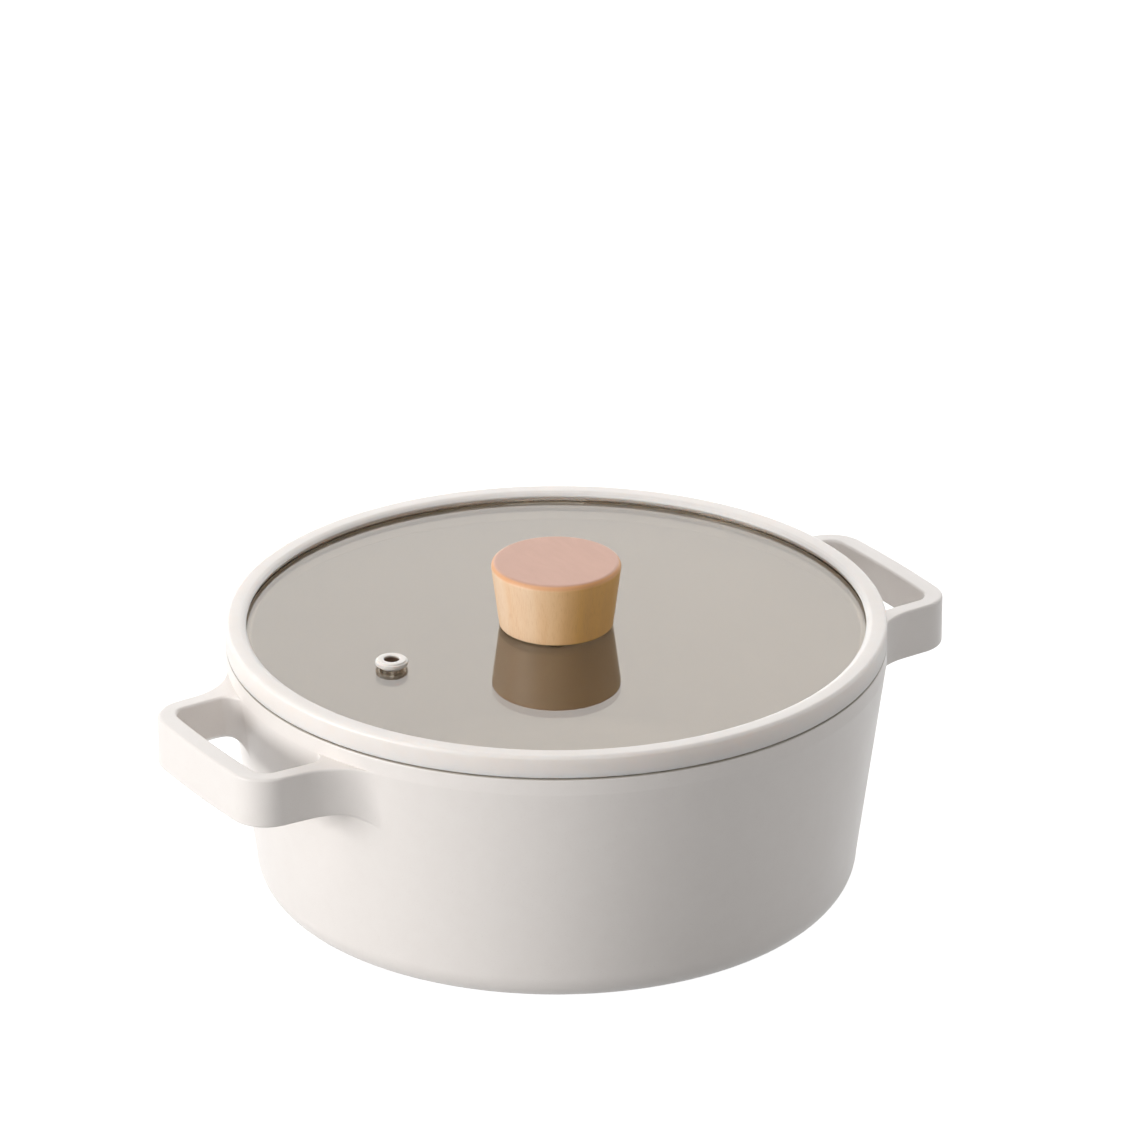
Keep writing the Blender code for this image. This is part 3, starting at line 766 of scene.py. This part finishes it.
def wood_material(name, top):
    """Lacquered beech, turned with the grain upright, with end grain on top, and a painted highlight
    that makes the -X side paler.
    """
    g = Graph(name)
    across, up = g.along("X"), g.along("Z")
    fibre = g.noise(0.45 * MM, roughness=0.55, vector=g.stretched((1.0, 1.0, 0.05)))
    bands = g.noise(7 * MM, vector=g.stretched((1.0, 1.0, 0.10)), distortion=0.6)
    # painted highlight: the -X side turns paler, standing in for the broad reflection of the light on
    # that side
    lit_side = g.spread(across, -23 * MM, -4 * MM, 1.0, 0.0)
    side = g.mixed(lit_side, HEARTWOOD, WOOD_LIT_SIDE)
    side = g.mixed(g.spread(bands, 0.40, 0.70, 0.0, 0.5), side, WOOD_BAND)
    side = g.mixed(g.spread(fibre, 0.50, 0.75, 0.0, 0.30), side, WOOD_FIBRE)
    pores = g.noise(0.35 * MM, roughness=0.6)
    rings = g.noise(3.5 * MM, vector=g.stretched((1.0, 0.3, 1.0)), distortion=0.4)
    end = g.mixed(g.spread(rings, 0.30, 0.70), END_GRAIN_LIGHT, END_GRAIN_DARK)
    end = g.mixed(g.spread(pores, 0.55, 0.80, 0.0, 0.25), end, END_GRAIN_PORE)
    rim_shade = g.spread(up, top - 2.0 * MM, top - 1.2 * MM, 0.0, 0.8)
    colour = g.mixed(rim_shade, side, WOOD_RIM)
    colour = g.mixed(g.spread(up, top - 0.5 * MM, top - 0.1 * MM), colour, end)
    rough = g.spread(fibre, 0.3, 0.7, 0.46, 0.56)
    normal = g.bump(fibre, 0.006 * MM)
    g.set(Coat_Weight=0.12, Coat_Roughness=0.25, Specular_IOR_Level=0.35)
    return g.finish(colour, rough, normal)


def glass_material(name):
    """Tempered glass, a little warm, with faint wipe marks in its gloss."""
    g = Graph(name)
    g.set(Transmission_Weight=1.0, IOR=1.52, Base_Color=SMOKED_GLASS)
    smear = g.noise(30 * MM, detail=3.0, roughness=0.6, distortion=1.0)
    return g.finish(roughness=g.spread(smear, 0.45, 0.75, 0.0, 0.02))


def metal_material(name, light, dark, roughness):
    """Machined metal, with fine turning marks round its axis."""
    g = Graph(name)
    wave = g.node("ShaderNodeTexWave", wave_type="RINGS", rings_direction="Z")
    wave.inputs["Scale"].default_value = TURNING_MARKS
    wave.inputs["Distortion"].default_value = 1.5
    wave.inputs["Detail"].default_value = 2.0
    g.join(g.place, wave.inputs["Vector"])
    marks = wave.outputs["Fac"]
    stain_and_shade = g.noise(12 * MM, detail=4.0, roughness=0.6)
    colour = g.mixed(g.spread(stain_and_shade, 0.35, 0.7), light, dark)
    rough = g.spread(marks, 0.0, 1.0, roughness - 0.06, roughness + 0.08)
    g.set(Metallic=1.0)
    return g.finish(colour, rough, g.bump(marks, 0.004 * MM))


# ---------------------------------------------------------------- build the pieces

casting = make_casting()
rim = make_rim()
glass = make_glass()
vent = make_vent()
knob = make_knob()
plate = make_plate()

IVORY = coat_material("ivory_coat", 0.36, POT_HEIGHT)
IVORY_RUBBER = silicone_material("ivory_rubber", IVORY_LIGHT, IVORY_DARK, 0.42, 5 * MM)
WHITE_RUBBER = silicone_material(
    "white_rubber", WHITE_LIGHT, WHITE_DARK, 0.42, 0.8 * MM,
    bore=(VENT_X, VENT_BORE + 0.15 * MM, VENT_HIGH.z),
)
GREY_RUBBER = silicone_material("grey_rubber", GREY_LIGHT, GREY_DARK, 0.55, 1 * MM)
CLEAR = glass_material("clear_glass")
BEECH = wood_material("beech_wood", KNOB_HIGH.z)
STEEL = metal_material("turned_steel", STEEL_LIGHT, STEEL_DARK, 0.3)
BRASS = metal_material("turned_brass", BRASS_LIGHT, BRASS_DARK, 0.28)

# New piece, the body it rides on, the CAD node it stands for, that node's slot, its finish
PIECES = (
    (casting, "pot", "pot_casting", "ivory_ceramic_coat", IVORY),
    (plate, "pot", "induction_base_plate", "stainless_steel", STEEL),
    (rim, "lid_rim", "lid_silicone_rim", "ivory_silicone", IVORY_RUBBER),
    (glass, "lid", "lid_glass", "lid_glass", CLEAR),
    (vent, "lid", "steam_vent_grommet", "white_silicone", WHITE_RUBBER),
    (knob, "lid", "knob_wood", "beech", BEECH),
)
for piece, body, node, slot, finish in PIECES:
    piece.data.materials.clear()
    piece.data.materials.append(finish)
    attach(piece, body)
    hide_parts(node)

# CAD nodes that keep their shape and only get a finish
CARRIED = (
    ("knob_seat_washer", GREY_RUBBER),
    ("under_glass_gasket", GREY_RUBBER),
    ("knob_threaded_insert", BRASS),
    ("screw_washer", STEEL),
    ("spring_lock_washer", STEEL),
    ("knob_screw", STEEL),
)
for node, finish in CARRIED:
    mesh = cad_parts[node].data
    mesh.materials.clear()
    mesh.materials.append(finish)


# ---------------------------------------------------------------- floor, light and camera

AIM = Vector((0.0, 0.0, 0.06))   # the lights face this point
LIGHTS = {
    # name: (place, (width, height), radiance)
    "key_left": ((-2.6, 0.55, 1.25), (1.3, 1.3), 1.05),
    "low_left": ((-2.4, 0.3, 0.45), (1.2, 0.8), 13.8),
    "back_wall": ((1.15, 1.8, 0.95), (3.4, 1.8), 2.15),
    "overhead": ((-0.45, 0.25, 2.2), (1.8, 1.8), 1.96),
    "right_low": ((2.2, -0.6, 0.5), (1.4, 0.9), 1.98),
    "front_high": ((-1.3, -2.4, 2.0), (1.6, 1.4), 2.56),
    "front_low": ((-0.2, -2.6, 0.6), (1.8, 0.9), 0.3),
}
WORLD = 0.11                     # strength of the even light from everywhere
FLOOR_ALBEDO = 0.4               # of the floor that lights the object
FLOOR_GLOW = 0.0
VIEW_ALBEDO = 0.2                # of the floor and backdrop that the camera sees
VIEW_GLOW = 1.0
FLOOR_DROP = 0.5 * MM            # the lighting floor lies this much lower than the seen one
STUDIO_RADIUS = 6.0
BACKDROP_HEIGHT = 6.0
BACKDROP_STEPS = 96

# The photo's camera, fitted to the outlines of rim, wall, handles and knob. Angles in degrees
CAMERA_PLACE = (-1.51892, -2.40668, 1.39100)
CAMERA_TURN = -32.301536         # about +Z, from looking along +Y
CAMERA_DIP = 23.892496           # below the horizon
CAMERA_ROLL = -0.075086
CAMERA_LENS = 262.63             # millimetres, for a sensor 36 mm wide
SENSOR_WIDTH = 36.0
CAMERA_CLIP = (0.5, 20.0)


def soft_light(name, place, size, radiance):
    """A rectangular soft light of the given radiance at place, facing the object."""
    lamp = bpy.data.lights.new(name, "AREA")
    lamp.shape = "RECTANGLE"
    lamp.size, lamp.size_y = size
    lamp.energy = radiance * size[0] * size[1] * math.pi
    obj = bpy.data.objects.new(name, lamp)
    obj.location = place
    obj.rotation_mode = "QUATERNION"
    obj.rotation_quaternion = (AIM - Vector(place)).to_track_quat("-Z", "Y")
    bpy.context.scene.collection.objects.link(obj)


def paper(obj, albedo, glow):
    """Give obj pale paper. A glow of 1 hides the shadows on it, as in the photo."""
    g = Graph(obj.name)
    lighter = albedo + 0.01
    tone = g.mixed(g.noise(0.4), (albedo, albedo, albedo, 1), (lighter, lighter, lighter, 1))
    g.set(Roughness=0.9, Specular_IOR_Level=0.1, Emission_Color=WHITE, Emission_Strength=glow)
    obj.data.materials.append(g.finish(tone))


def hide(obj, *rays):
    """Make obj invisible to these kinds of rays."""
    for ray in rays:
        setattr(obj, "visible_" + ray, False)


def make_floor(name, z, albedo, glow):
    """A level sheet of paper under the object."""
    size = STUDIO_RADIUS
    mesh = bpy.data.meshes.new(name)
    corners = [(-size, -size, z), (size, -size, z), (size, size, z), (-size, size, z)]
    mesh.from_pydata(corners, [], [(0, 1, 2, 3)])
    floor = link(name, mesh)
    paper(floor, albedo, glow)
    return floor


def make_backdrop(name, albedo, glow):
    """The paper goes on up behind the floor's edge, all round."""
    points = []
    for i in range(BACKDROP_STEPS):
        angle = math.tau * i / BACKDROP_STEPS
        across, along = STUDIO_RADIUS * math.cos(angle), STUDIO_RADIUS * math.sin(angle)
        points += [(across, along, 0.0), (across, along, BACKDROP_HEIGHT)]
    count = len(points)
    faces = [(i, (i + 2) % count, (i + 3) % count, i + 1) for i in range(0, count, 2)]
    mesh = bpy.data.meshes.new(name)
    mesh.from_pydata(points, [], faces)
    backdrop = link(name, mesh)
    paper(backdrop, albedo, glow)
    return backdrop


def make_camera():
    """The photo's camera."""
    data = bpy.data.cameras.new("camera")
    data.lens = CAMERA_LENS
    data.sensor_width = SENSOR_WIDTH
    data.clip_start, data.clip_end = CAMERA_CLIP
    camera = bpy.data.objects.new("camera", data)
    camera.matrix_world = (
        Matrix.Translation(CAMERA_PLACE)
        @ Matrix.Rotation(math.radians(CAMERA_TURN), 4, "Z")
        @ Matrix.Rotation(math.radians(90 - CAMERA_DIP), 4, "X")
        @ Matrix.Rotation(math.radians(CAMERA_ROLL), 4, "Z")
    )
    bpy.context.scene.collection.objects.link(camera)
    return camera


# The camera and mirrors see one floor, and the other one only lights the object
seen_floor = make_floor("studio_floor", 0.0, VIEW_ALBEDO, VIEW_GLOW)
hide(seen_floor, "diffuse", "shadow")
lit_floor = make_floor("bounce_floor", -FLOOR_DROP, FLOOR_ALBEDO, FLOOR_GLOW)
hide(lit_floor, "camera", "glossy")
backdrop = make_backdrop("studio_backdrop", VIEW_ALBEDO, VIEW_GLOW)
hide(backdrop, "diffuse", "glossy", "transmission", "shadow")

for light_name, (place, size, radiance) in LIGHTS.items():
    soft_light(light_name, place, size, radiance)

scene = bpy.context.scene
scene.view_settings.view_transform = "Standard"
scene.world = bpy.data.worlds.new("studio")
scene.world.use_nodes = True
background = scene.world.node_tree.nodes["Background"]
background.inputs["Color"].default_value = WHITE
background.inputs["Strength"].default_value = WORLD
scene.camera = make_camera()
